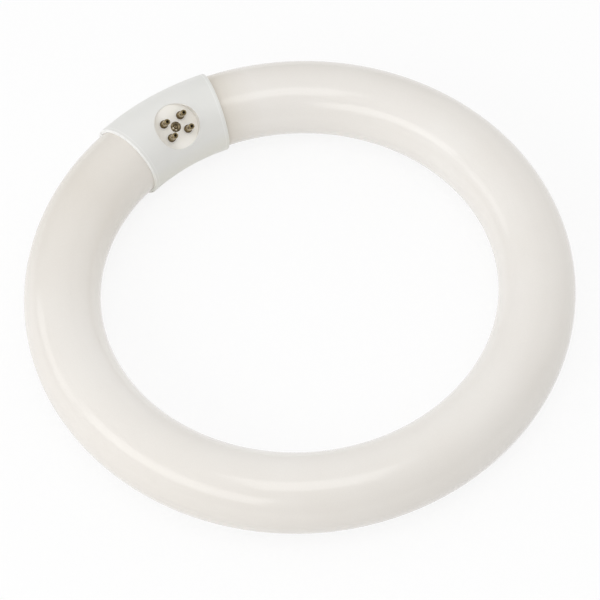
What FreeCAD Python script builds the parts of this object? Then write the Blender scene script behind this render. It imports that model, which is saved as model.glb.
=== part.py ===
import FreeCAD, Part
import math
import os
import Sketcher

# Circular fluorescent lamp: a sealed glass ring whose two ends meet inside a two-piece moulded base
# with four contact pins.
#
# Frame: millimetres, +Z up, the ring lying flat. X and Y start at the ring's centre, Z at the base's
# lowest point. The base is centred on +Y, and its pins lean in towards the ring's axis.
#
# The pin frame starts on the tube's centreline in the middle of the base. Its "along" runs with X,
# its "height" runs out through the pins, and its "across" leads away from the ring.

doc = FreeCAD.newDocument("CircularLamp")
sheet = doc.addObject("Spreadsheet::Sheet", "Sizes")

SIZES = {
    # Glass ring
    "ring_radius": 93.0,
    "tube_radius": 15.0,
    "shoulder_radius": 6.0,
    "end_rim_width": 1.2,
    "flare_depth": 5.0,
    "flare_floor_radius": 4.2,
    "exhaust_tip_radius": 1.9,
    "exhaust_tip_length": 7.5,
    "exhaust_seal_radius": 0.8,
    "exhaust_seal_length": 2.6,
    # Base shells
    "base_half_angle": 13.5,
    "glass_entry_angle": 2.0,
    "glass_clearance": 0.4,
    "shell_wall": 1.0,
    "rim_round": 0.35,
    "grip_rib_angle": 1.0,
    "grip_rib_clearance": 0.05,
    "lip_height": 1.0,
    "lip_thickness": 0.45,
    "lip_clearance": 0.1,
    # Recess that takes the lamp's connector
    "pin_tilt": 32.5,
    "recess_radius": 9.3,
    "recess_depth": 3.3,
    "recess_wall": 1.2,
    "recess_edge_round": 0.25,
    "floor_thickness": 1.8,
    # Contact pins
    "pin_pitch_along": 7.92,
    "pin_pitch_across": 6.35,
    "pin_radius": 1.2,
    "pin_proud": 6.9,
    "pin_collar_radius": 1.65,
    "pin_collar_height": 1.2,
    "pin_collar_chamfer": 0.3,
    "pin_tip_chamfer": 0.4,
    "pin_mouth_radius": 0.6,
    "pin_mouth_depth": 0.7,
    "pin_shank_radius": 0.95,
    "pin_hole_clearance": 0.03,
    "pin_flange_radius": 1.75,
    "pin_flange_thickness": 0.6,
    "crimp_height": 5.0,
    "crimp_radius": 0.45,
    "crimp_depth": 0.3,
    # Rivet and the bosses that it clamps
    "rivet_radius": 1.5,
    "rivet_bore_radius": 0.85,
    "rivet_head_radius": 2.15,
    "rivet_roll_radius": 0.75,
    "rivet_tail_radius": 2.4,
    "rivet_tail_thickness": 0.5,
    "rivet_hole_clearance": 0.1,
    "front_boss_wall": 1.4,
    "spigot_wall": 0.65,
    "spigot_height": 1.5,
    "spigot_clearance": 0.1,
    "tail_recess_depth": 1.6,
    "tail_recess_clearance": 0.4,
    "tail_recess_wall": 1.1,
    # Lead wires and their sleeves
    "wire_radius": 0.4,
    "wire_bore_clearance": 0.05,
    "wire_offset": 3.1,
    "wire_stub": 4.0,
    "wire_drop": 5.7,
    "wire_bend_radius": 2.5,
    "sleeve_wall": 0.35,
    "sleeve_clearance": 0.05,
    "sleeve_margin": 2.2,
}

for row, (name, value) in enumerate(SIZES.items(), start=1):
    sheet.set("A%d" % row, name)
    sheet.set("B%d" % row, str(value))
    sheet.setAlias("B%d" % row, name)
doc.recompute()

# Sizes worked out from the sheet
SHELL_INNER = "(Sizes.tube_radius + Sizes.glass_clearance)"
SHELL_OUTER = "(Sizes.tube_radius + Sizes.glass_clearance + Sizes.shell_wall)"
RIB_INNER = "(Sizes.tube_radius + Sizes.grip_rib_clearance)"
LIP_OUTER = "(%s + Sizes.lip_thickness)" % SHELL_INNER
ARC_END_ANGLE = "(Sizes.base_half_angle - Sizes.glass_entry_angle)"
FLOOR = "(%s - Sizes.recess_depth)" % SHELL_OUTER
FLOOR_UNDERSIDE = "(%s - Sizes.floor_thickness)" % FLOOR
PIN_TIP = "(%s + Sizes.pin_proud)" % FLOOR
RIVET_HOLE = "(Sizes.rivet_radius + Sizes.rivet_hole_clearance)"
SPIGOT_RADIUS = "(%s + Sizes.spigot_wall)" % RIVET_HOLE
FRONT_BOSS_RADIUS = "(%s + Sizes.front_boss_wall)" % RIVET_HOLE
TAIL_RECESS_RADIUS = "(Sizes.rivet_tail_radius + Sizes.tail_recess_clearance)"
REAR_BOSS_RADIUS = "(%s + Sizes.tail_recess_wall)" % TAIL_RECESS_RADIUS
TAIL_SEAT = "(%s - Sizes.tail_recess_depth)" % SHELL_OUTER
WIRE_BORE = "(Sizes.wire_radius + Sizes.wire_bore_clearance)"
WIRE_TOP = "(%s - Sizes.pin_mouth_depth)" % PIN_TIP

# Which end of the tube, and which side of its centreline, each pin and its wire belong to
PIN_CORNERS = ((1, 1), (1, -1), (-1, 1), (-1, -1))

X_AXIS = FreeCAD.Vector(1, 0, 0)
Y_AXIS = FreeCAD.Vector(0, 1, 0)
Z_AXIS = FreeCAD.Vector(0, 0, 1)


def number(expression):
    """The value of an expression in the sheet's sizes."""
    return float(sheet.evalExpression(expression))


# Sketch helpers

def new_body(label):
    body = doc.addObject("PartDesign::Body", label)
    body.Label = label
    return body


def sketch_on(body, plane, name):
    """A sketch on one of the body's own origin planes."""
    sketch = body.newObject("Sketcher::SketchObject", name)
    support = [feature for feature in body.Origin.OriginFeatures if feature.Role == plane][0]
    sketch.AttachmentSupport = [(support, "")]
    sketch.MapMode = "FlatFace"
    return sketch


def section_sketch(body, name, angle=None):
    """A sketch that holds the ring's axis as its vertical, turned about that axis by an angle."""
    sketch = sketch_on(body, "YZ_Plane", name)
    if angle:
        sketch.AttachmentOffset = FreeCAD.Placement(FreeCAD.Vector(), FreeCAD.Rotation(Y_AXIS, 1))
        sketch.setExpression("AttachmentOffset.Rotation.Angle", angle)
    return sketch


def pin_frame_sketch(body, name, height):
    """A sketch square to the pins, at a height in the pin frame."""
    sketch = sketch_on(body, "XY_Plane", name)
    sketch.AttachmentOffset = FreeCAD.Placement(FreeCAD.Vector(), FreeCAD.Rotation(X_AXIS, 1))
    sketch.setExpression("AttachmentOffset.Base.y", "Sizes.ring_radius - %s * sin(Sizes.pin_tilt)" % height)
    sketch.setExpression("AttachmentOffset.Base.z", "%s + %s * cos(Sizes.pin_tilt)" % (SHELL_OUTER, height))
    sketch.setExpression("AttachmentOffset.Rotation.Angle", "Sizes.pin_tilt")
    return sketch


def bind(sketch, constraint, expression):
    index = sketch.addConstraint(constraint)
    sketch.setExpression("Constraints[%d]" % index, expression)


def hold_point(sketch, geometry, position, x, y):
    """Ties a point to two expressions. In a sketch the origin is point 1 of geometry -1, which is also
    the horizontal axis, and the vertical axis is geometry -2."""
    for kind, axis, expression in (("DistanceX", -2, x), ("DistanceY", -1, y)):
        value = number(expression)
        if value == 0:
            sketch.addConstraint(Sketcher.Constraint("PointOnObject", geometry, position, axis))
        elif value > 0:
            bind(sketch, Sketcher.Constraint(kind, -1, 1, geometry, position, value), expression)
        else:
            bind(sketch, Sketcher.Constraint(kind, geometry, position, -1, 1, -value), "-(%s)" % expression)


def add_circle(sketch, radius, x="0", y="0"):
    centre = FreeCAD.Vector(number(x), number(y), 0)
    circle = sketch.addGeometry(Part.Circle(centre, Z_AXIS, number(radius)), False)
    if x == "0" and y == "0":
        sketch.addConstraint(Sketcher.Constraint("Coincident", circle, 3, -1, 1))
    else:
        hold_point(sketch, circle, 3, x, y)
    bind(sketch, Sketcher.Constraint("Radius", circle, number(radius)), radius)


def add_outline(sketch, corners):
    """A closed outline. A corner is (x, y), or (x, y, radius, turn) where an arc of that radius leads
    to it: turn is 1 for an arc that runs counter-clockwise and -1 for one that runs clockwise."""
    points = [FreeCAD.Vector(number(corner[0]), number(corner[1]), 0) for corner in corners]
    ends = []
    for index, corner in enumerate(corners):
        before, here = points[index - 1], points[index]
        if len(corner) == 2:
            piece = sketch.addGeometry(Part.LineSegment(before, here), False)
            ends.append((piece, 1, 2))
            continue
        radius, turn = number(corner[2]), corner[3]
        chord = here - before
        square = FreeCAD.Vector(-chord.y, chord.x, 0).normalize()
        rise = math.sqrt(max(radius ** 2 - (chord.Length / 2) ** 2, 0))
        centre = before + chord * 0.5 + square * rise * turn
        first, last = (before, here) if turn > 0 else (here, before)
        start = math.atan2(first.y - centre.y, first.x - centre.x)
        stop = math.atan2(last.y - centre.y, last.x - centre.x)
        circle = Part.Circle(centre, Z_AXIS, radius)
        piece = sketch.addGeometry(Part.ArcOfCircle(circle, start, stop), False)
        ends.append((piece, 1, 2) if turn > 0 else (piece, 2, 1))
    for index, corner in enumerate(corners):
        piece, _, finish = ends[index]
        following, begin, _ = ends[(index + 1) % len(ends)]
        sketch.addConstraint(Sketcher.Constraint("Coincident", piece, finish, following, begin))
        hold_point(sketch, piece, finish, corner[0], corner[1])
        if len(corner) == 4:
            bind(sketch, Sketcher.Constraint("Radius", piece, number(corner[2])), corner[2])


def ring_section(body, name, inner, outer, angle=None):
    """The tube's section as a ring between two radii about the tube's centreline."""
    sketch = section_sketch(body, name, angle)
    add_circle(sketch, outer, "Sizes.ring_radius", SHELL_OUTER)
    add_circle(sketch, inner, "Sizes.ring_radius", SHELL_OUTER)
    return sketch


# Feature helpers

def turn_feature(body, kind, name, sketch, angle, axis="V_Axis", both_ways=True):
    """A Revolution or Groove of a sketch about one of its axes."""
    feature = body.newObject("PartDesign::" + kind, name)
    feature.Profile = sketch
    feature.ReferenceAxis = (sketch, [axis])
    feature.Midplane = both_ways
    feature.setExpression("Angle", angle)
    return feature


def pad(body, name, sketch, length, downwards=False):
    feature = body.newObject("PartDesign::Pad", name)
    feature.Profile = sketch
    feature.Reversed = downwards
    feature.setExpression("Length", length)
    return feature


def pocket(body, name, sketch, length=None, upwards=False):
    """Cuts down from the sketch, or up, through all or to a length, and checks that it cut."""
    doc.recompute()
    before = body.Shape.Volume
    feature = body.newObject("PartDesign::Pocket", name)
    feature.Profile = sketch
    feature.Reversed = upwards
    if length:
        feature.setExpression("Length", length)
    else:
        feature.Type = "ThroughAll"
    doc.recompute()
    if feature.Shape.Volume >= before:
        raise RuntimeError("%s cuts nothing" % name)
    return feature


def cut_beyond(body, name, height, upwards):
    """Cuts a shell off square to the pins, above or below a height in the pin frame."""
    sketch = pin_frame_sketch(body, name + "Plane", height)
    add_circle(sketch, "Sizes.ring_radius")
    pocket(body, name, sketch, upwards=upwards)


def trim_to_skin(body):
    """Trims what stands out of the shell back to its round skin."""
    skin = ring_section(body, "SkinSection", SHELL_OUTER, "2 * " + SHELL_OUTER)
    turn_feature(body, "Groove", "Skin", skin, "2 * Sizes.base_half_angle")


def add_grip_ribs(body):
    """A rib inside each mouth of the shell that bears on the round glass."""
    rib = ring_section(body, "RibSection", RIB_INNER, SHELL_OUTER, ARC_END_ANGLE)
    ribbed = turn_feature(body, "Revolution", "GripRib", rib, "Sizes.grip_rib_angle", both_ways=False)
    mirror_side_to_side(body, ribbed, "GripRibs")


def mirror_side_to_side(body, feature, name):
    mirrored = body.newObject("PartDesign::Mirrored", name)
    mirrored.Originals = [feature]
    plane = [item for item in body.Origin.OriginFeatures if item.Role == "YZ_Plane"][0]
    mirrored.MirrorPlane = (plane, [""])
    body.Tip = mirrored
    return mirrored


def round_rims(body):
    """Rounds the outer edges of the shell's two end faces."""
    doc.recompute()
    tip = body.Tip
    names = []
    for index, edge in enumerate(tip.Shape.Edges, start=1):
        middle = edge.valueAt((edge.FirstParameter + edge.LastParameter) / 2)
        round_edge = edge.Curve.TypeId == "Part::GeomCircle"
        outer = round_edge and abs(edge.Curve.Radius - number(SHELL_OUTER)) < 1e-4
        angle = math.degrees(math.atan2(abs(middle.x), middle.y))
        if outer and abs(angle - number("Sizes.base_half_angle")) < 1e-3:
            names.append("Edge%d" % index)
    rounded = body.newObject("PartDesign::Fillet", "RimRound")
    rounded.Base = (tip, names)
    rounded.setExpression("Radius", "Sizes.rim_round")


# Glass ring, closed at both ends by a re-entrant stem flare with its sealed exhaust tip

def make_glass_tube():
    body = new_body("glass_tube")
    section = section_sketch(body, "TubeSection", "180")
    add_circle(section, "Sizes.tube_radius", "Sizes.ring_radius", SHELL_OUTER)
    turn_feature(body, "Revolution", "Ring", section, "360 - 2 * " + ARC_END_ANGLE)

    end = sketch_on(body, "XY_Plane", "EndProfile")
    end.AttachmentOffset = FreeCAD.Placement(FreeCAD.Vector(), FreeCAD.Rotation(Z_AXIS, 1))
    end.setExpression("AttachmentOffset.Base.x", "Sizes.ring_radius * sin(%s)" % ARC_END_ANGLE)
    end.setExpression("AttachmentOffset.Base.y", "Sizes.ring_radius * cos(%s)" % ARC_END_ANGLE)
    end.setExpression("AttachmentOffset.Base.z", SHELL_OUTER)
    end.setExpression("AttachmentOffset.Rotation.Angle", "180 - " + ARC_END_ANGLE)
    rim = "(Sizes.tube_radius - Sizes.shoulder_radius)"
    flare_floor = "(Sizes.shoulder_radius - Sizes.flare_depth)"
    tip_end = "(%s + Sizes.exhaust_tip_length)" % flare_floor
    add_outline(end, [
        ("0", "0"),
        ("0", "Sizes.tube_radius"),
        ("Sizes.shoulder_radius", rim, "Sizes.shoulder_radius", -1),
        ("Sizes.shoulder_radius", "%s - Sizes.end_rim_width" % rim),
        (flare_floor, "Sizes.flare_floor_radius"),
        (flare_floor, "Sizes.exhaust_tip_radius"),
        ("%s - Sizes.exhaust_seal_length" % tip_end, "Sizes.exhaust_tip_radius"),
        (tip_end, "Sizes.exhaust_seal_radius"),
        (tip_end, "0"),
    ])
    closed = turn_feature(body, "Revolution", "End", end, "360", axis="H_Axis")
    mirror_side_to_side(body, closed, "Ends")
    return body


# Front shell: the upper half of the sleeve, with the round recess that the pins stand in

def make_base_front_shell():
    body = new_body("base_front_shell")
    wall = ring_section(body, "WallSection", SHELL_INNER, SHELL_OUTER)
    turn_feature(body, "Revolution", "Wall", wall, "2 * Sizes.base_half_angle")
    add_grip_ribs(body)

    cup = pin_frame_sketch(body, "CupOutline", FLOOR_UNDERSIDE)
    add_circle(cup, "Sizes.recess_radius + Sizes.recess_wall")
    pad(body, "Cup", cup, "%s - %s" % (SHELL_OUTER, FLOOR_UNDERSIDE))
    trim_to_skin(body)

    # The rebate that the rear shell's lip enters is left between two cuts
    cut_beyond(body, "RebateCut", "(Sizes.lip_height + Sizes.lip_clearance)", upwards=False)
    skirt = ring_section(body, "SkirtSection", "%s + Sizes.lip_clearance" % LIP_OUTER, SHELL_OUTER)
    turn_feature(body, "Revolution", "Skirt", skirt, "2 * Sizes.base_half_angle")
    cut_beyond(body, "SplitCut", "0", upwards=False)

    boss = pin_frame_sketch(body, "BossOutline", "0")
    add_circle(boss, FRONT_BOSS_RADIUS)
    pad(body, "Boss", boss, FLOOR_UNDERSIDE)
    socket = pin_frame_sketch(body, "SocketOutline", "(Sizes.spigot_height + Sizes.spigot_clearance)")
    add_circle(socket, "%s + Sizes.spigot_clearance" % SPIGOT_RADIUS)
    pocket(body, "SpigotSocket", socket)

    recess = pin_frame_sketch(body, "RecessOutline", FLOOR)
    add_circle(recess, "Sizes.recess_radius")
    pocket(body, "Recess", recess, upwards=True)
    rivet_hole = pin_frame_sketch(body, "RivetHoleOutline", FLOOR)
    add_circle(rivet_hole, RIVET_HOLE)
    pocket(body, "RivetHole", rivet_hole)
    pin_holes = pin_frame_sketch(body, "PinHoleOutlines", FLOOR)
    for along, across in PIN_CORNERS:
        x = "%d * Sizes.pin_pitch_along / 2" % along
        y = "%d * Sizes.pin_pitch_across / 2" % across
        add_circle(pin_holes, "Sizes.pin_shank_radius + Sizes.pin_hole_clearance", x, y)
    pocket(body, "PinHoles", pin_holes, length="Sizes.floor_thickness")
    round_rims(body)
    round_recess_edge(body)
    return body


def round_recess_edge(body):
    """Rounds the edge where the recess's wall comes out through the skin."""
    doc.recompute()
    tip = body.Tip
    centre = FreeCAD.Vector(0, number("Sizes.ring_radius"), number(SHELL_OUTER))
    tilt = math.radians(number("Sizes.pin_tilt"))
    height_axis = FreeCAD.Vector(0, -math.sin(tilt), math.cos(tilt))
    names = []
    for index, edge in enumerate(tip.Shape.Edges, start=1):
        middle = edge.valueAt((edge.FirstParameter + edge.LastParameter) / 2) - centre
        height = middle.dot(height_axis)
        off_axis = (middle - height_axis * height).Length
        if abs(off_axis - number("Sizes.recess_radius")) < 1e-3 and height > number(FLOOR) + 1e-3:
            names.append("Edge%d" % index)
    rounded = body.newObject("PartDesign::Fillet", "RecessEdgeRound")
    rounded.Base = (tip, names)
    rounded.setExpression("Radius", "Sizes.recess_edge_round")


# Rear shell: the lower half of the sleeve, with the lip along its seams and the rivet's long boss

def make_base_rear_shell():
    body = new_body("base_rear_shell")
    wall = ring_section(body, "WallSection", SHELL_INNER, SHELL_OUTER)
    turn_feature(body, "Revolution", "Wall", wall, "2 * Sizes.base_half_angle")
    add_grip_ribs(body)
    boss = pin_frame_sketch(body, "BossOutline", "0")
    add_circle(boss, REAR_BOSS_RADIUS)
    pad(body, "Boss", boss, SHELL_OUTER, downwards=True)
    trim_to_skin(body)

    cut_beyond(body, "SplitCut", "0", upwards=True)
    lip = ring_section(body, "LipSection", SHELL_INNER, LIP_OUTER)
    turn_feature(body, "Revolution", "Lip", lip, "2 * Sizes.base_half_angle")
    cut_beyond(body, "LipCut", "Sizes.lip_height", upwards=True)

    spigot = pin_frame_sketch(body, "SpigotOutline", "0")
    add_circle(spigot, SPIGOT_RADIUS)
    pad(body, "Spigot", spigot, "Sizes.spigot_height")
    rivet_hole = pin_frame_sketch(body, "RivetHoleOutline", "Sizes.spigot_height")
    add_circle(rivet_hole, RIVET_HOLE)
    pocket(body, "RivetHole", rivet_hole)
    tail = pin_frame_sketch(body, "TailRecessOutline", "(0 - %s)" % TAIL_SEAT)
    add_circle(tail, TAIL_RECESS_RADIUS)
    pocket(body, "TailRecess", tail)
    round_rims(body)
    return body


# Turned parts that stand in the pin frame

def place_in_pin_frame(part, along="0", across="0"):
    """Stands a part's own Z along the pins' height, at a place in the pin frame."""
    part.Placement = FreeCAD.Placement(FreeCAD.Vector(), FreeCAD.Rotation(X_AXIS, 1))
    part.setExpression("Placement.Base.x", along)
    part.setExpression("Placement.Base.y", "Sizes.ring_radius + %s * cos(Sizes.pin_tilt)" % across)
    part.setExpression("Placement.Base.z", "%s + %s * sin(Sizes.pin_tilt)" % (SHELL_OUTER, across))
    part.setExpression("Placement.Rotation.Angle", "Sizes.pin_tilt")


def turned_body(label, corners):
    body = new_body(label)
    profile = sketch_on(body, "XZ_Plane", "Profile")
    add_outline(profile, corners)
    turn_feature(body, "Revolution", "Turned", profile, "360")
    return body


def make_contact_pin(label, along, across):
    """A hollow pin: a collar on the recess's floor, a thinner shank staked to a flange below it, a
    funnel in its tip, and a crimp punched in each side to grip the wire."""
    collar_top = "(%s + Sizes.pin_collar_height)" % FLOOR
    flange_bottom = "%s - Sizes.pin_flange_thickness" % FLOOR_UNDERSIDE
    body = turned_body(label, [
        (WIRE_BORE, flange_bottom),
        ("Sizes.pin_flange_radius", flange_bottom),
        ("Sizes.pin_flange_radius", FLOOR_UNDERSIDE),
        ("Sizes.pin_shank_radius", FLOOR_UNDERSIDE),
        ("Sizes.pin_shank_radius", FLOOR),
        ("Sizes.pin_collar_radius", FLOOR),
        ("Sizes.pin_collar_radius", "%s - Sizes.pin_collar_chamfer" % collar_top),
        ("Sizes.pin_collar_radius - Sizes.pin_collar_chamfer", collar_top),
        ("Sizes.pin_radius", collar_top),
        ("Sizes.pin_radius", "%s - Sizes.pin_tip_chamfer" % PIN_TIP),
        ("Sizes.pin_radius - Sizes.pin_tip_chamfer", PIN_TIP),
        ("Sizes.pin_mouth_radius", PIN_TIP),
        (WIRE_BORE, WIRE_TOP),
    ])
    crimp = sketch_on(body, "YZ_Plane", "CrimpOutline")
    crimp.setExpression("AttachmentOffset.Base.z", "Sizes.pin_radius - Sizes.crimp_depth")
    add_circle(crimp, "Sizes.crimp_radius", "0", "%s + Sizes.crimp_height" % FLOOR)
    punched = pocket(body, "Crimp", crimp, upwards=True)
    mirror_side_to_side(body, punched, "Crimps")
    along_place = "%d * Sizes.pin_pitch_along / 2" % along
    across_place = "%d * Sizes.pin_pitch_across / 2" % across
    place_in_pin_frame(body, along_place, across_place)
    return body


def make_clamp_rivet():
    """A hollow rivet through both bosses: a rolled head in the recess and a flat tail behind."""
    tail_end = "0 - %s - Sizes.rivet_tail_thickness" % TAIL_SEAT
    body = turned_body("clamp_rivet", [
        ("Sizes.rivet_bore_radius", tail_end),
        ("Sizes.rivet_tail_radius", tail_end),
        ("Sizes.rivet_tail_radius", "0 - " + TAIL_SEAT),
        ("Sizes.rivet_radius", "0 - " + TAIL_SEAT),
        ("Sizes.rivet_radius", FLOOR),
        ("Sizes.rivet_head_radius", FLOOR),
        ("Sizes.rivet_bore_radius", FLOOR, "Sizes.rivet_roll_radius", 1),
    ])
    place_in_pin_frame(body)
    return body


# Lead wires: each leaves a stem's flare, crosses to its pin, turns up and ends in the pin's mouth

def wire_corners(side, across):
    """The corners of the wire's path in the pin frame."""
    angle = math.radians(number(ARC_END_ANGLE))
    tilt = math.radians(number("Sizes.pin_tilt"))
    reach = number("Sizes.ring_radius") * math.sin(angle)
    sag = number("Sizes.ring_radius") * (1 - math.cos(angle))
    tube_end = FreeCAD.Vector(side * reach, -sag * math.cos(tilt), sag * math.sin(tilt))
    heading = FreeCAD.Vector(
        -side * math.cos(angle), math.sin(angle) * math.cos(tilt), -math.sin(angle) * math.sin(tilt)
    )
    sideways = (Y_AXIS - heading * heading.dot(Y_AXIS)).normalize() * across
    flare_floor = number("Sizes.shoulder_radius - Sizes.flare_depth")
    start = tube_end + heading * flare_floor + sideways * number("Sizes.wire_offset")
    knee = start + heading * number("Sizes.wire_stub")
    x = side * number("Sizes.pin_pitch_along / 2")
    y = across * number("Sizes.pin_pitch_across / 2")
    under_flange = number("%s - Sizes.pin_flange_thickness" % FLOOR_UNDERSIDE)
    elbow = FreeCAD.Vector(x, y, under_flange - number("Sizes.wire_drop"))
    top = FreeCAD.Vector(x, y, number(WIRE_TOP))
    return start, knee, elbow, top


def bend_at(corner, before, after, radius):
    """The arc that rounds a corner of a path."""
    arriving = (corner - before).normalize()
    leaving = (after - corner).normalize()
    turn = arriving.getAngle(leaving)
    setback = radius * math.tan(turn / 2)
    bisector = (leaving - arriving).normalize()
    middle = corner + bisector * (radius / math.cos(turn / 2) - radius)
    return Part.Arc(corner - arriving * setback, middle, corner + leaving * setback)


def tube_along(path, radius):
    """A round solid that follows a path."""
    first = path.Edges[0]
    start = first.valueAt(first.FirstParameter)
    heading = first.tangentAt(first.FirstParameter)
    section = Part.Face(Part.Wire([Part.Circle(start, heading, radius).toShape()]))
    return path.makePipe(section)


def add_shape(label, shape):
    part = doc.addObject("Part::Feature", label)
    part.Label = label
    part.Shape = shape
    place_in_pin_frame(part)
    return part


def make_lead_wire(label, side, across):
    start, knee, elbow, top = wire_corners(side, across)
    radius = number("Sizes.wire_bend_radius")
    first = bend_at(knee, start, elbow, radius)
    second = bend_at(elbow, knee, top, radius)
    stretches = [
        Part.LineSegment(start, first.StartPoint),
        first,
        Part.LineSegment(first.EndPoint, second.StartPoint),
        second,
        Part.LineSegment(second.EndPoint, top),
    ]
    path = Part.Wire([stretch.toShape() for stretch in stretches])
    return add_shape(label, tube_along(path, number("Sizes.wire_radius")))


def make_insulating_sleeve(label, side, across):
    """A sleeve over the wire's straight run between its two bends."""
    _, knee, elbow, _ = wire_corners(side, across)
    heading = (elbow - knee).normalize()
    margin = number("Sizes.sleeve_margin")
    length = (elbow - knee).Length - 2 * margin
    start = knee + heading * margin
    inner = number("Sizes.wire_radius + Sizes.sleeve_clearance")
    outer = inner + number("Sizes.sleeve_wall")
    bore = Part.makeCylinder(inner, length, start, heading)
    return add_shape(label, Part.makeCylinder(outer, length, start, heading).cut(bore))


parts = [make_glass_tube(), make_base_front_shell(), make_base_rear_shell(), make_clamp_rivet()]
for count, (along, across) in enumerate(PIN_CORNERS, start=1):
    parts.append(make_contact_pin("contact_pin_%d" % count, along, across))
    parts.append(make_lead_wire("lead_wire_%d" % count, along, across))
    parts.append(make_insulating_sleeve("insulating_sleeve_%d" % count, along, across))

doc.recompute()
for item in doc.Objects:
    if "Invalid" in item.State or "Error" in item.State:
        raise RuntimeError("%s failed" % item.Label)
for part in parts:
    if part.Shape.isNull() or not part.Shape.isValid():
        raise RuntimeError("%s has no valid shape" % part.Label)

os.makedirs("parts", exist_ok=True)
for part in parts:
    part.Shape.exportStep("parts/%s.step" % part.Label)
    print(part.Label, round(part.Shape.Volume, 2), len(part.Shape.Solids), part.Shape.BoundBox)
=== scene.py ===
import math

import bpy
from mathutils import Matrix, Vector


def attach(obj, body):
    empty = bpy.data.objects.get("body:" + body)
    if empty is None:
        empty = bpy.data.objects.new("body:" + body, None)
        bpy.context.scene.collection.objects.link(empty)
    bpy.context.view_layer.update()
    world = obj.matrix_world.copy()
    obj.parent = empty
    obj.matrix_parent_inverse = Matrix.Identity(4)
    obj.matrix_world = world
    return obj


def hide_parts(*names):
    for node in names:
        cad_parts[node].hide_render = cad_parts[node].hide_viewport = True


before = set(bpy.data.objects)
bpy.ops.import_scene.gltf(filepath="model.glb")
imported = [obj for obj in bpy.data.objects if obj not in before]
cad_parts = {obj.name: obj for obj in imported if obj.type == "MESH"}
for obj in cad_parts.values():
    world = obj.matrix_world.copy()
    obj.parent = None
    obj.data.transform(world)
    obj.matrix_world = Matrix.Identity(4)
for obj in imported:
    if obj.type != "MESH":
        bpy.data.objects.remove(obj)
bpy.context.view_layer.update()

# Sizes of the lamp, in metres
MM = 0.001
RING_RADIUS = 93 * MM
TUBE_RADIUS = 15 * MM
BASE_HALF_ANGLE = math.radians(13.5)
SHELL_OUTER = 16.4 * MM
RECESS_RADIUS = 9.3 * MM
RECESS_FLOOR = SHELL_OUTER - 3.3 * MM
FLOOR_UNDERSIDE = RECESS_FLOOR - 1.8 * MM
EDGE_ROUND = 0.15 * MM
LIP_RADIUS = 0.22 * MM
LIP_HALF_WIDTH = LIP_RADIUS * 1.2
LIP_RING = TUBE_RADIUS + LIP_RADIUS * 0.9
LIP_INSET = 0.1 * MM
PIN_TILT = math.radians(32.5)
PITCH_ALONG = 7.92 * MM
PITCH_ACROSS = 6.35 * MM
PIN_RADIUS = 1.2 * MM
PIN_TIP = RECESS_FLOOR + 6.84 * MM
PIN_TIP_ROUND = 0.45 * MM
PIN_MOUTH_RADIUS = 0.6 * MM
PIN_MOUTH_DEPTH = 0.7 * MM
PIN_MOUTH_LIP = 0.08 * MM
PIN_BORE = 0.45 * MM
PIN_SHANK = 0.95 * MM
PIN_FLANGE_RADIUS = 1.75 * MM
PIN_FLANGE_THICKNESS = 0.6 * MM
PIN_COLLAR_RADIUS = 1.65 * MM
PIN_COLLAR_TOP = RECESS_FLOOR + 1.2 * MM
PIN_COLLAR_ROUND = 0.35 * MM
PIN_COLLAR_START = PIN_RADIUS + 0.08 * MM
CRIMP_HEIGHT = RECESS_FLOOR + 5.0 * MM
CRIMP_RADIUS = 0.5 * MM
CRIMP_DEPTH = 0.3 * MM
CRIMP_FOOT = PIN_COLLAR_TOP + 0.01 * MM
RIVET_RADIUS = 1.5 * MM
RIVET_BORE = 0.85 * MM
RIVET_BORE_END = RECESS_FLOOR - 0.12 * MM
RIVET_DISH = 0.4 * MM
RIVET_CORE = 0.02 * MM
RIVET_HEAD_RADIUS = 2.15 * MM
RIVET_HEAD_RISE = 0.38 * MM
RIVET_TAIL_RADIUS = 2.4 * MM
RIVET_TAIL_SEAT = -SHELL_OUTER + 1.6 * MM
RIVET_TAIL_END = RIVET_TAIL_SEAT - 0.5 * MM

RING_CENTRE = Vector((0, 0, SHELL_OUTER))
PIN_FRAME = Matrix.Translation((0, RING_RADIUS, SHELL_OUTER)) @ Matrix.Rotation(PIN_TILT, 4, "X")
PIN_CORNERS = ((1, 1), (1, -1), (-1, 1), (-1, -1))

# Stretches over which a colour changes, painted shade and highlights among them, in metres
BASE_RIM_STRETCH = 2 * MM
RIGHT_DARKENED_STRETCH = 16 * MM
LEFT_SHADE_STRETCH = 80 * MM
SEAM_LINE = (0.05 * MM, 0.11 * MM)
CREAM_EDGE = (RECESS_RADIUS - 0.1 * MM, RECESS_RADIUS + 0.25 * MM)
CREAM_BACK = (FLOOR_UNDERSIDE - 1 * MM, FLOOR_UNDERSIDE)
WARM_SHADE_FLANK = (-11 * MM, -15.5 * MM)
WIRE_SHADE_STRETCH = (PIN_TIP - 2.2 * MM, PIN_TIP - 1.8 * MM)

# The crimps: how far a dimple reaches in its own radii and how fast it fades, its near black core and
# the dark patch of painted shade round it as shares of their radii, and the upright radius of that patch
CRIMP_REACH = 1.6
CRIMP_FALLOFF = 1.6
CRIMP_CORE_SHARE = 0.5
CRIMP_SHADE_SHARE = 0.9
CRIMP_SHADE_HEIGHT = 0.95 * MM

# Painted glints on the rivet's head: place and reach in millimetres
RIVET_GLINT_SPOTS = ((-1.25, 0.05, 0.34), (-0.62, -1.12, 0.26), (-0.28, 0.5, 0.22))

# Points round each turned piece, and round the section of a lip
PIN_SEGMENTS = 64
RIVET_SEGMENTS = 96
LIP_SEGMENTS = 160
LIP_ROUNDS = 12


# Mesh helpers

def arc(centre_radius, centre_height, radius, start, stop, steps=4, rise=None):
    """Points of an arc in a lathe profile, its angles in degrees from outwards to upwards. rise is
    its upright radius, where the arc is part of an ellipse."""
    points = []
    for step in range(steps + 1):
        angle = math.radians(start + (stop - start) * step / steps)
        height = centre_height + (rise or radius) * math.sin(angle)
        points.append((centre_radius + radius * math.cos(angle), height))
    return points


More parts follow.
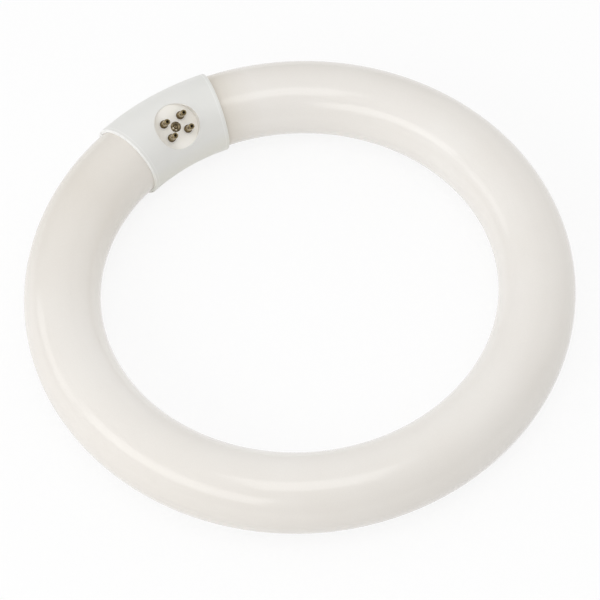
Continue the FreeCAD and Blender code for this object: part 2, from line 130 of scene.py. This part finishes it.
def divide(start, stop, steps):
    """Points along a straight stretch of a profile, without its ends."""
    return [
        (start[0] + (stop[0] - start[0]) * step / steps, start[1] + (stop[1] - start[1]) * step / steps)
        for step in range(1, steps)
    ]


def new_piece(name, vertices, faces):
    mesh = bpy.data.meshes.new(name)
    mesh.from_pydata(vertices, [], faces)
    mesh.update()
    piece = bpy.data.objects.new(name, mesh)
    bpy.context.scene.collection.objects.link(piece)
    return piece


def closed_grid(name, vertices, rows, columns):
    """A smooth piece whose rows of points close on themselves in both directions."""
    faces = []
    for row in range(rows):
        for column in range(columns):
            after = (row + 1) % rows
            beside = (column + 1) % columns
            faces.append((
                row * columns + column, row * columns + beside,
                after * columns + beside, after * columns + column,
            ))
    piece = new_piece(name, vertices, faces)
    piece.data.shade_smooth()
    return piece


def lathe(name, profile, segments, shape=None):
    """A closed profile turned about the local Z. shape moves each point."""
    vertices = []
    for radius, height in profile:
        for segment in range(segments):
            angle = 2 * math.pi * segment / segments
            point = Vector((radius * math.cos(angle), radius * math.sin(angle), height))
            vertices.append(shape(point) if shape else point)
    return closed_grid(name, vertices, len(profile), segments)


def place(piece, matrix):
    """Moves a piece's own points."""
    piece.data.transform(matrix)
    piece.data.update()


def dress(piece, node, material):
    """Gives a piece its material and lets it stand for a CAD node."""
    piece.data.materials.append(material)
    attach(piece, "root")
    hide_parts(node)


# Material helpers

def new_material(name):
    material = bpy.data.materials.new(name)
    material.use_nodes = True
    shader = material.node_tree.nodes["Principled BSDF"]
    return material, material.node_tree, shader


def object_coordinates(tree, scale=(1, 1, 1), rotation=(0, 0, 0), location=(0, 0, 0)):
    source = tree.nodes.new("ShaderNodeTexCoord")
    mapping = tree.nodes.new("ShaderNodeMapping")
    mapping.inputs["Scale"].default_value = scale
    mapping.inputs["Rotation"].default_value = rotation
    mapping.inputs["Location"].default_value = location
    tree.links.new(source.outputs["Object"], mapping.inputs["Vector"])
    return mapping.outputs["Vector"]


def component(tree, vector, axis):
    """One of a position's three coordinates."""
    parts = tree.nodes.new("ShaderNodeSeparateXYZ")
    tree.links.new(vector, parts.inputs["Vector"])
    return parts.outputs[axis]


def calculate(tree, operation, first, second=None):
    """One step of arithmetic, on one value or on two."""
    node = tree.nodes.new("ShaderNodeMath")
    node.operation = operation
    tree.links.new(first, node.inputs[0])
    if second is not None:
        tree.links.new(second, node.inputs[1])
    return node.outputs["Value"]


def spread(tree, value, low, high, start=0.3, stop=0.7):
    """Maps the range from start to stop, a texture's middle one, to the range from low to high."""
    node = tree.nodes.new("ShaderNodeMapRange")
    node.inputs["From Min"].default_value = start
    node.inputs["From Max"].default_value = stop
    node.inputs["To Min"].default_value = low
    node.inputs["To Max"].default_value = high
    tree.links.new(value, node.inputs["Value"])
    return node.outputs["Result"]


def add_noise(tree, vector, scale, detail=2.0, roughness=0.5):
    texture = tree.nodes.new("ShaderNodeTexNoise")
    texture.inputs["Scale"].default_value = scale
    texture.inputs["Detail"].default_value = detail
    texture.inputs["Roughness"].default_value = roughness
    tree.links.new(vector, texture.inputs["Vector"])
    return texture.outputs["Fac"]


def ramp(tree, value, stops):
    """A colour ramp; each stop is a position and a colour."""
    node = tree.nodes.new("ShaderNodeValToRGB")
    elements = node.color_ramp.elements
    while len(elements) < len(stops):
        elements.new(0.5)
    for element, (position, colour) in zip(elements, stops):
        element.position = position
        element.color = (*colour, 1)
    tree.links.new(value, node.inputs["Fac"])
    return node.outputs["Color"]


def mottle(tree, vector, scale, detail, dark, light):
    """Soft patches between two colours."""
    return ramp(tree, add_noise(tree, vector, scale, detail), [(0.3, dark), (0.7, light)])


def multiply(tree, first, second):
    """The product of two colours."""
    node = tree.nodes.new("ShaderNodeMix")
    node.data_type = "RGBA"
    node.blend_type = "MULTIPLY"
    node.inputs["Factor"].default_value = 1
    tree.links.new(first, node.inputs["A"])
    tree.links.new(second, node.inputs["B"])
    return node.outputs["Result"]


def blend(tree, factor, first, second):
    """The first colour where the factor is nothing, the second where it is one."""
    node = tree.nodes.new("ShaderNodeMix")
    node.data_type = "RGBA"
    tree.links.new(factor, node.inputs["Factor"])
    tree.links.new(first, node.inputs["A"])
    tree.links.new(second, node.inputs["B"])
    return node.outputs["Result"]


def vary_roughness(tree, shader, vector, scale, detail, low, high):
    uneven = spread(tree, add_noise(tree, vector, scale, detail), low, high)
    tree.links.new(uneven, shader.inputs["Roughness"])


def add_bump(tree, shader, height, depth):
    node = tree.nodes.new("ShaderNodeBump")
    node.inputs["Strength"].default_value = 1
    node.inputs["Distance"].default_value = depth
    tree.links.new(height, node.inputs["Height"])
    tree.links.new(node.outputs["Normal"], shader.inputs["Normal"])


def pin_coordinates(tree):
    """Positions measured in the pins' own frame."""
    origin = PIN_FRAME.inverted().to_translation()
    return object_coordinates(tree, rotation=(-PIN_TILT, 0, 0), location=origin)


def pin_height(tree):
    """Height along the pins' axis above the tube's centreline."""
    return component(tree, pin_coordinates(tree), "Z")


def axis_distance(tree, vector):
    """Distance of a position from the upright axis through its origin."""
    flat = tree.nodes.new("ShaderNodeVectorMath")
    flat.operation = "MULTIPLY"
    flat.inputs[1].default_value = (1, 1, 0)
    tree.links.new(vector, flat.inputs[0])
    reach = tree.nodes.new("ShaderNodeVectorMath")
    reach.operation = "LENGTH"
    tree.links.new(flat.outputs["Vector"], reach.inputs[0])
    return reach.outputs["Value"]


def within_recess(tree):
    """One inside the round recess of the base and nothing outside it."""
    inside = spread(tree, axis_distance(tree, pin_coordinates(tree)), 1, 0, *CREAM_EDGE)
    in_front = spread(tree, pin_height(tree), 0, 1, *CREAM_BACK)
    return calculate(tree, "MULTIPLY", inside, in_front)


def near_seam(tree):
    """One on the plane where the two shells part, nothing beyond a tenth of a millimetre from it."""
    return spread(tree, calculate(tree, "ABSOLUTE", pin_height(tree)), 1, 0, *SEAM_LINE)


def down_inner_flank(tree):
    """Nothing over the front of the base, one low on the flank that faces the ring's centre."""
    return spread(tree, component(tree, pin_coordinates(tree), "Y"), 0, 1, *WARM_SHADE_FLANK)


def past_base_ends(tree):
    """Distance past the nearer end of the base, square to that end, below zero inside the base."""
    place_on = object_coordinates(tree)
    beyond = []
    for side in (-1, 1):
        angle = math.pi / 2 + side * BASE_HALF_ANGLE
        distance = tree.nodes.new("ShaderNodeVectorMath")
        distance.operation = "DOT_PRODUCT"
        distance.inputs[1].default_value = (-side * math.sin(angle), side * math.cos(angle), 0)
        tree.links.new(place_on, distance.inputs[0])
        beyond.append(distance.outputs["Value"])
    return calculate(tree, "MAXIMUM", *beyond)


def beside_left_end(tree):
    """One over the quarter of the ring that starts in the base and runs to its left."""
    place_on = object_coordinates(tree)
    left_half = spread(tree, component(tree, place_on, "X"), 1, 0, -MM, MM)
    rear_half = spread(tree, component(tree, place_on, "Y"), 0, 1, -MM, MM)
    return calculate(tree, "MULTIPLY", left_half, rear_half)


# Materials

def coated_glass():
    """Clear glass over a white powder coating: cloudy by a hair, with a faint grain, painted shade round
    the outside of the bend, darker next to the base's right end and painted shade over a long stretch
    left of the base, under a sharp gloss."""
    material, tree, shader = new_material("coated_glass")
    place_on = object_coordinates(tree)
    clouds = mottle(tree, place_on, 28, 3, (0.855, 0.822, 0.777), (0.88, 0.853, 0.813))
    grain = mottle(tree, place_on, 2600, 2, (0.975, 0.975, 0.975), (1, 1, 1))
    from_base = past_base_ends(tree)
    # Darker on the glass next to the base's right end
    right_end_darkening = ramp(tree, spread(tree, from_base, 0, 1, 0, RIGHT_DARKENED_STRETCH), [
        (0.0, (0.868, 0.843, 0.797)), (0.25, (0.905, 0.89, 0.855)), (0.45, (0.944, 0.934, 0.912)),
        (0.75, (0.978, 0.971, 0.963)), (1.0, (1, 1, 1))])
    # Painted shade: the glass darkens over a long stretch to the left of the base
    left_painted_shade = ramp(tree, spread(tree, from_base, 0, 1, 0, LEFT_SHADE_STRETCH), [
        (0.0, (0.945, 0.935, 0.915)), (0.33, (0.935, 0.92, 0.893)), (0.6, (0.965, 0.957, 0.94)),
        (0.84, (0.988, 0.985, 0.978)), (1.0, (1, 1, 1))])
    end_darkening_and_shade = blend(tree, beside_left_end(tree), right_end_darkening, left_painted_shade)
    bend = spread(
        tree, axis_distance(tree, place_on), 0, 1, RING_RADIUS - TUBE_RADIUS, RING_RADIUS + TUBE_RADIUS)
    # Painted shade: the glass darkens round the outside of the bend
    painted_outer_shade = ramp(tree, bend, [
        (0.0, (1, 1, 1)), (0.25, (0.995, 0.994, 0.993)), (0.5, (0.966, 0.962, 0.956)),
        (1.0, (0.925, 0.915, 0.9))])
    coating = multiply(tree, multiply(tree, clouds, painted_outer_shade), end_darkening_and_shade)
    tree.links.new(multiply(tree, coating, grain), shader.inputs["Base Color"])
    vary_roughness(tree, shader, place_on, 55, 4, 0.11, 0.16)
    shader.inputs["IOR"].default_value = 1.52
    add_bump(tree, shader, add_noise(tree, place_on, 45, 1), 0.06 * MM)
    return material


def base_plastic():
    """White moulded plastic with a satin skin of fine grain: cream in the recess, painted highlights
    along the rims, dark in the parting line and a painted warm shade low on the inner flank."""
    material, tree, shader = new_material("base_plastic")
    place_on = object_coordinates(tree)
    flow = mottle(tree, place_on, 60, 3, (0.785, 0.785, 0.755), (0.805, 0.80, 0.775))
    cream = mottle(tree, place_on, 220, 3, (0.945, 0.92, 0.86), (0.965, 0.945, 0.90))
    painted_rim_highlight = mottle(tree, place_on, 220, 3, (0.93, 0.93, 0.915), (0.95, 0.95, 0.935))
    parted = mottle(tree, place_on, 220, 3, (0.30, 0.29, 0.26), (0.42, 0.41, 0.38))
    last_stretch = spread(tree, past_base_ends(tree), 0, 1, -BASE_RIM_STRETCH, 0)
    # Painted highlights: a faint pale line near each end of the base and a pale edge at the end itself
    rim_highlight_lines = ramp(tree, last_stretch, [
        (0.0, (0, 0, 0)), (0.2, (0, 0, 0)), (0.27, (0.4, 0.4, 0.4)), (0.35, (0.4, 0.4, 0.4)),
        (0.42, (0, 0, 0)), (0.88, (0, 0, 0)), (0.95, (1, 1, 1)), (1.0, (1, 1, 1))])
    moulded = blend(tree, near_seam(tree), blend(tree, rim_highlight_lines, flow, painted_rim_highlight), parted)
    # Painted shade: a warm tint low on the flank that faces the ring's centre
    painted_warm_shade = ramp(tree, down_inner_flank(tree), [(0.0, (1, 1, 1)), (1.0, (1, 0.992, 0.95))])
    skin = multiply(tree, blend(tree, within_recess(tree), moulded, cream), painted_warm_shade)
    tree.links.new(skin, shader.inputs["Base Color"])
    vary_roughness(tree, shader, place_on, 300, 3, 0.33, 0.40)
    shader.inputs["IOR"].default_value = 1.49
    add_bump(tree, shader, add_noise(tree, place_on, 500, 2), 0.003 * MM)
    return material


def turned_metal(name, fresh, dull, low_roughness, high_roughness, zones=None):
    """Turned metal, dulled in patches, with fine lines round the pins' axis. zones tone it by its
    share of a pin's height."""
    material, tree, shader = new_material(name)
    place_on = object_coordinates(tree, rotation=(-PIN_TILT, 0, 0))
    patches = ramp(tree, add_noise(tree, place_on, 1400, 4, 0.6), [(0.35, dull), (0.62, fresh)])
    if zones:
        share = spread(tree, pin_height(tree), 0, 1, RECESS_FLOOR, PIN_TIP)
        patches = multiply(tree, patches, ramp(tree, share, zones))
    tree.links.new(patches, shader.inputs["Base Color"])
    shader.inputs["Metallic"].default_value = 1
    vary_roughness(tree, shader, place_on, 1900, 3, low_roughness, high_roughness)
    lines = object_coordinates(tree, scale=(60, 60, 9000), rotation=(-PIN_TILT, 0, 0))
    add_bump(tree, shader, add_noise(tree, lines, 1, 2), 0.006 * MM)
    return material


def hole_black(tree, place_on):
    """The near black that paints shade in the pins' mouths."""
    return ramp(tree, add_noise(tree, place_on, 3000, 3), [
        (0.35, (0.004, 0.003, 0.002)), (0.65, (0.02, 0.015, 0.008))])


def painted_hole_shade():
    """Painted shade: near black in each pin's mouth and in the core of each dimple."""
    material, tree, shader = new_material("painted_hole_shade")
    place_on = object_coordinates(tree)
    tree.links.new(hole_black(tree, place_on), shader.inputs["Base Color"])
    shader.inputs["Specular IOR Level"].default_value = 0.1
    vary_roughness(tree, shader, place_on, 5000, 2, 0.45, 0.75)
    add_bump(tree, shader, add_noise(tree, place_on, 4000, 2), 0.05 * MM)
    return material


def plated_wire():
    """Grey plated wire, with painted shade where it ends inside a pin."""
    material, tree, shader = new_material("lead_metal")
    place_on = object_coordinates(tree)
    tint = mottle(tree, place_on, 900, 3, (0.42, 0.41, 0.39), (0.58, 0.56, 0.53))
    # Painted shade: near black where the wire ends inside a pin
    in_pin_shade = spread(tree, pin_height(tree), 0, 1, *WIRE_SHADE_STRETCH)
    tree.links.new(blend(tree, in_pin_shade, tint, hole_black(tree, place_on)), shader.inputs["Base Color"])
    shader.inputs["Metallic"].default_value = 1
    vary_roughness(tree, shader, place_on, 1500, 2, 0.28, 0.45)
    return material


def woven_sleeving():
    """Cream glass-fibre sleeving, its weave as slanting waves."""
    material, tree, shader = new_material("sleeving")
    weave = tree.nodes.new("ShaderNodeTexWave")
    weave.bands_direction = "DIAGONAL"
    weave.inputs["Scale"].default_value = 900
    weave.inputs["Distortion"].default_value = 1.5
    tree.links.new(object_coordinates(tree), weave.inputs["Vector"])
    tint = ramp(tree, weave.outputs["Fac"], [(0.2, (0.52, 0.48, 0.39)), (0.8, (0.72, 0.68, 0.58))])
    tree.links.new(tint, shader.inputs["Base Color"])
    shader.inputs["Roughness"].default_value = 0.85
    add_bump(tree, shader, weave.outputs["Fac"], 0.05 * MM)
    return material


# Pieces

def pin_profile():
    flange_bottom = FLOOR_UNDERSIDE - PIN_FLANGE_THICKNESS
    shaft_top = PIN_TIP - PIN_TIP_ROUND
    mouth_top = PIN_TIP - PIN_MOUTH_LIP
    mouth_end = (PIN_BORE, PIN_TIP - PIN_MOUTH_DEPTH)
    points = [(PIN_BORE, flange_bottom)]
    points += arc(PIN_FLANGE_RADIUS - EDGE_ROUND, flange_bottom + EDGE_ROUND, EDGE_ROUND, -90, 0)
    points += arc(PIN_FLANGE_RADIUS - EDGE_ROUND, FLOOR_UNDERSIDE - EDGE_ROUND, EDGE_ROUND, 0, 90)
    points += [(PIN_SHANK, FLOOR_UNDERSIDE), (PIN_SHANK, RECESS_FLOOR)]
    points += arc(PIN_COLLAR_RADIUS - EDGE_ROUND, RECESS_FLOOR + EDGE_ROUND, EDGE_ROUND, -90, 0)
    collar_round = PIN_COLLAR_RADIUS - PIN_COLLAR_ROUND, PIN_COLLAR_TOP - PIN_COLLAR_ROUND
    points += arc(*collar_round, PIN_COLLAR_ROUND, 0, 90, steps=8)
    points += divide((PIN_RADIUS, PIN_COLLAR_TOP), (PIN_RADIUS, shaft_top), 48)
    points += arc(PIN_RADIUS - PIN_TIP_ROUND, shaft_top, PIN_TIP_ROUND, 0, 90, steps=8)
    points += arc(PIN_MOUTH_RADIUS + PIN_MOUTH_LIP, mouth_top, PIN_MOUTH_LIP, 90, 180)
    points += divide((PIN_MOUTH_RADIUS, mouth_top), mouth_end, 5)
    points += [mouth_end]
    return points


def crimped(point):
    """Presses a dimple into each side of a pin's shaft."""
    if point.z < CRIMP_FOOT or abs(point.x) < PIN_BORE:
        return point
    away = math.hypot(point.y, point.z - CRIMP_HEIGHT) / CRIMP_RADIUS
    if away > CRIMP_REACH:
        return point
    depth = CRIMP_DEPTH * math.exp(-(away ** 2) * CRIMP_FALLOFF)
    return Vector((point.x - math.copysign(depth, point.x), point.y, point.z))


def build_pin(number, along, across, brass, hole_shade, shade_metal):
    piece = lathe("brass_pin_%d" % number, pin_profile(), PIN_SEGMENTS, crimped)
    for face in piece.data.polygons:
        x, y, height = face.center
        from_axis = math.hypot(x, y)
        from_crimp = math.hypot(y, height - CRIMP_HEIGHT)
        shade_reach = math.hypot(y / CRIMP_RADIUS, (height - CRIMP_HEIGHT) / CRIMP_SHADE_HEIGHT)
        # Painted shade: near black in each pin's mouth and in the core of each dimple
        if from_axis < PIN_MOUTH_RADIUS or from_crimp < CRIMP_RADIUS * CRIMP_CORE_SHARE:
            face.material_index = 1
        # Painted shade: darker brass round each dimple and over the collar and flange
        elif shade_reach < CRIMP_SHADE_SHARE or from_axis > PIN_COLLAR_START:
            face.material_index = 2
    spot = Matrix.Translation((along * PITCH_ALONG / 2, across * PITCH_ACROSS / 2, 0))
    place(piece, PIN_FRAME @ spot)
    dress(piece, "contact_pin_%d" % number, brass)
    piece.data.materials.append(hole_shade)
    piece.data.materials.append(shade_metal)


def rivet_profile():
    head_half = (RIVET_HEAD_RADIUS - RIVET_BORE) / 2
    points = [(RIVET_CORE, RIVET_TAIL_END)]
    points += arc(RIVET_TAIL_RADIUS - EDGE_ROUND, RIVET_TAIL_END + EDGE_ROUND, EDGE_ROUND, -90, 0)
    points += arc(RIVET_TAIL_RADIUS - EDGE_ROUND, RIVET_TAIL_SEAT - EDGE_ROUND, EDGE_ROUND, 0, 90)
    points += [(RIVET_RADIUS, RIVET_TAIL_SEAT), (RIVET_RADIUS, RECESS_FLOOR)]
    points += arc(RIVET_BORE + head_half, RECESS_FLOOR, head_half, 0, 180, steps=12, rise=RIVET_HEAD_RISE)
    points += divide((RIVET_BORE, RECESS_FLOOR), (RIVET_BORE, RIVET_BORE_END), 4)
    points += arc(0, RIVET_BORE_END, RIVET_BORE, 0, -85, steps=8, rise=RIVET_DISH)
    points.append((RIVET_CORE, RIVET_BORE_END - RIVET_DISH))
    return points


def build_rivet(metal, glint_metal):
    piece = lathe("rolled_rivet", rivet_profile(), RIVET_SEGMENTS)
    for face in piece.data.polygons:
        if face.center.z < RECESS_FLOOR - RIVET_BORE:
            continue
        # Painted highlights: bright glint patches on the rivet's head
        for x, y, reach in RIVET_GLINT_SPOTS:
            if math.hypot(face.center.x - x * MM, face.center.y - y * MM) < reach * MM:
                face.material_index = 1
    place(piece, PIN_FRAME)
    dress(piece, "clamp_rivet", metal)
    piece.data.materials.append(glint_metal)


def build_lip(side, plastic):
    """The soft lip inside one end of the base, where it meets the glass all round."""
    angle = math.pi / 2 + side * (BASE_HALF_ANGLE - LIP_INSET / RING_RADIUS)
    outward = Vector((math.cos(angle), math.sin(angle), 0))
    along = Vector((-math.sin(angle), math.cos(angle), 0))
    centre = RING_CENTRE + outward * RING_RADIUS
    vertices = []
    for segment in range(LIP_SEGMENTS):
        turn = 2 * math.pi * segment / LIP_SEGMENTS
        spoke = outward * math.cos(turn) + Vector((0, 0, math.sin(turn)))
        for step in range(LIP_ROUNDS):
            round_angle = 2 * math.pi * step / LIP_ROUNDS
            radial = LIP_RING + LIP_RADIUS * math.cos(round_angle)
            vertices.append(centre + spoke * radial + along * (LIP_HALF_WIDTH * math.sin(round_angle)))
    name = "base_lip_left" if side > 0 else "base_lip_right"
    piece = closed_grid(name, vertices, LIP_SEGMENTS, LIP_ROUNDS)
    piece.data.materials.append(plastic)
    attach(piece, "root")


def repaint(names, material):
    """Gives CAD nodes a material and leaves their meshes as they are."""
    for name in names:
        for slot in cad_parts[name].material_slots:
            slot.material = material


def of_each_pin(name):
    """The names of the nodes that come once for each pin."""
    return ["%s_%d" % (name, number) for number in range(1, len(PIN_CORNERS) + 1)]


# Stage, lights and camera

# Name, centre, width, height and brightness of each soft lamp, aimed at the ring's centre
SOFTBOXES = (
    ("side_softbox", (-0.85, -0.13, 0.58), 1.2, 0.38, 1.75),
    ("side_softbox_end", (-0.85, 0.86, 0.44), 0.7, 0.34, 1.0),
    ("right_fill", (1.5, 0.1, 0.7), 2.2, 1.2, 0.28),
    ("top_softbox", (-0.12, -0.22, 1.0), 0.50, 0.45, 1.6),
)
SKY_TONES = [
    (0.0, (0.42, 0.42, 0.42)), (0.45, (0.88, 0.88, 0.88)), (0.68, (0.83, 0.83, 0.83)),
    (1.0, (0.50, 0.50, 0.50))]
FLOOR_REACH = 6.0
FLOOR_WHITE_SHARE = 0.85
CAMERA_DISTANCE = 0.85575
CAMERA_AZIMUTH = math.radians(-32.7)
CAMERA_ELEVATION = math.radians(56.304)
CAMERA_TILT = math.radians(-0.439)
CAMERA_ROLL = math.radians(-3.235)
CAMERA_LENS = 130.84
CAMERA_SENSOR = 36


def white_where_seen(tree, lit, share):
    """Mixes plain white into what the camera, glossy and transmitted rays see of a shader."""
    rays = tree.nodes.new("ShaderNodeLightPath")
    seen = calculate(tree, "MAXIMUM", rays.outputs["Is Camera Ray"], rays.outputs["Is Glossy Ray"])
    seen = calculate(tree, "MAXIMUM", seen, rays.outputs["Is Transmission Ray"])
    white = tree.nodes.new("ShaderNodeEmission")
    mix = tree.nodes.new("ShaderNodeMixShader")
    tree.links.new(spread(tree, seen, 0, share, 0, 1), mix.inputs["Fac"])
    tree.links.new(lit, mix.inputs[1])
    tree.links.new(white.outputs["Emission"], mix.inputs[2])
    return mix.outputs["Shader"]


def build_floor():
    corners = [(x * FLOOR_REACH, y * FLOOR_REACH, 0) for x, y in ((-1, -1), (1, -1), (1, 1), (-1, 1))]
    floor = new_piece("floor", corners, [(0, 1, 2, 3)])
    material, tree, shader = new_material("white_floor")
    paper = mottle(tree, object_coordinates(tree), 400, 2, (0.93, 0.93, 0.93), (0.95, 0.95, 0.95))
    tree.links.new(paper, shader.inputs["Base Color"])
    shader.inputs["Roughness"].default_value = 1
    shader.inputs["Specular IOR Level"].default_value = 0
    seen = white_where_seen(tree, shader.outputs["BSDF"], FLOOR_WHITE_SHARE)
    tree.links.new(seen, tree.nodes["Material Output"].inputs["Surface"])
    floor.data.materials.append(material)


def build_world():
    """A soft sky, a little darker in front of the lamp and behind it than above it."""
    world = bpy.data.worlds.new("studio")
    bpy.context.scene.world = world
    world.use_nodes = True
    tree = world.node_tree
    sky = tree.nodes["Background"]
    heading = tree.nodes.new("ShaderNodeTexCoord")
    ahead = component(tree, heading.outputs["Generated"], "Y")
    tree.links.new(ramp(tree, spread(tree, ahead, 0, 1, -1, 1), SKY_TONES), sky.inputs["Color"])
    sky.inputs["Strength"].default_value = 1


def build_lights():
    """Rectangular lamps, wide along the level direction, whose surfaces have a given brightness."""
    for name, centre, width, height, radiance in SOFTBOXES:
        light = bpy.data.lights.new(name, "AREA")
        light.shape = "RECTANGLE"
        light.size = width
        light.size_y = height
        light.energy = radiance * width * height * math.pi
        lamp = bpy.data.objects.new(name, light)
        bpy.context.scene.collection.objects.link(lamp)
        lamp.location = centre
        lamp.rotation_euler = (RING_CENTRE - Vector(centre)).to_track_quat("-Z", "Y").to_euler()


def build_camera():
    level = math.cos(CAMERA_ELEVATION)
    offset = Vector((
        math.sin(CAMERA_AZIMUTH) * level, -math.cos(CAMERA_AZIMUTH) * level, math.sin(CAMERA_ELEVATION)
    ))
    forward = -offset
    right = forward.cross(Vector((0, 0, 1))).normalized()
    up = right.cross(forward)
    forward = (forward + up * CAMERA_TILT).normalized()
    up = right.cross(forward)
    rolled_right = right * math.cos(CAMERA_ROLL) + up * math.sin(CAMERA_ROLL)
    rolled_up = up * math.cos(CAMERA_ROLL) - right * math.sin(CAMERA_ROLL)
    turn = Matrix((rolled_right, rolled_up, -forward)).transposed().to_4x4()
    camera = bpy.data.objects.new("camera", bpy.data.cameras.new("camera"))
    camera.data.lens = CAMERA_LENS
    camera.data.sensor_width = CAMERA_SENSOR
    camera.matrix_world = Matrix.Translation(RING_CENTRE + offset * CAMERA_DISTANCE) @ turn
    bpy.context.scene.collection.objects.link(camera)
    bpy.context.scene.camera = camera


build_camera()
build_world()
build_floor()
build_lights()

# The zones paint shade over the collar and the foot of each pin's shaft, and darken each pin towards its
# tip
brass = turned_metal("pin_brass", (0.62, 0.52, 0.33), (0.40, 0.31, 0.17), 0.2, 0.36, [
    (0.0, (0.14, 0.12, 0.09)), (0.16, (0.5, 0.47, 0.40)), (0.22, (0.9, 0.88, 0.84)), (0.5, (1, 1, 1)),
    (0.8, (1, 1, 1)), (0.9, (0.62, 0.56, 0.45)), (0.96, (0.46, 0.43, 0.37)), (1.0, (0.52, 0.50, 0.44))])
# Dark brass for the rivet
dark_brass = turned_metal("rivet_metal", (0.26, 0.21, 0.13), (0.10, 0.075, 0.04), 0.12, 0.26)
# Painted shade: dark brass for the collars, the flanges and round each dimple
painted_shade_brass = turned_metal("painted_shade_brass", (0.17, 0.125, 0.065), (0.075, 0.053, 0.025), 0.3, 0.5)
# Painted highlights: bright brass for the glints on the rivet's head
painted_glint_brass = turned_metal("painted_glint_brass", (0.97, 0.92, 0.80), (0.80, 0.72, 0.56), 0.2, 0.4)
hole_shade = painted_hole_shade()
for number, (along, across) in enumerate(PIN_CORNERS, start=1):
    build_pin(number, along, across, brass, hole_shade, painted_shade_brass)
build_rivet(dark_brass, painted_glint_brass)

repaint(["glass_tube"], coated_glass())
plastic = base_plastic()
repaint(["base_front_shell", "base_rear_shell"], plastic)
for side in (-1, 1):
    build_lip(side, plastic)
repaint(of_each_pin("lead_wire"), plated_wire())
repaint(of_each_pin("insulating_sleeve"), woven_sleeving())

bpy.context.scene.view_settings.view_transform = "Standard"
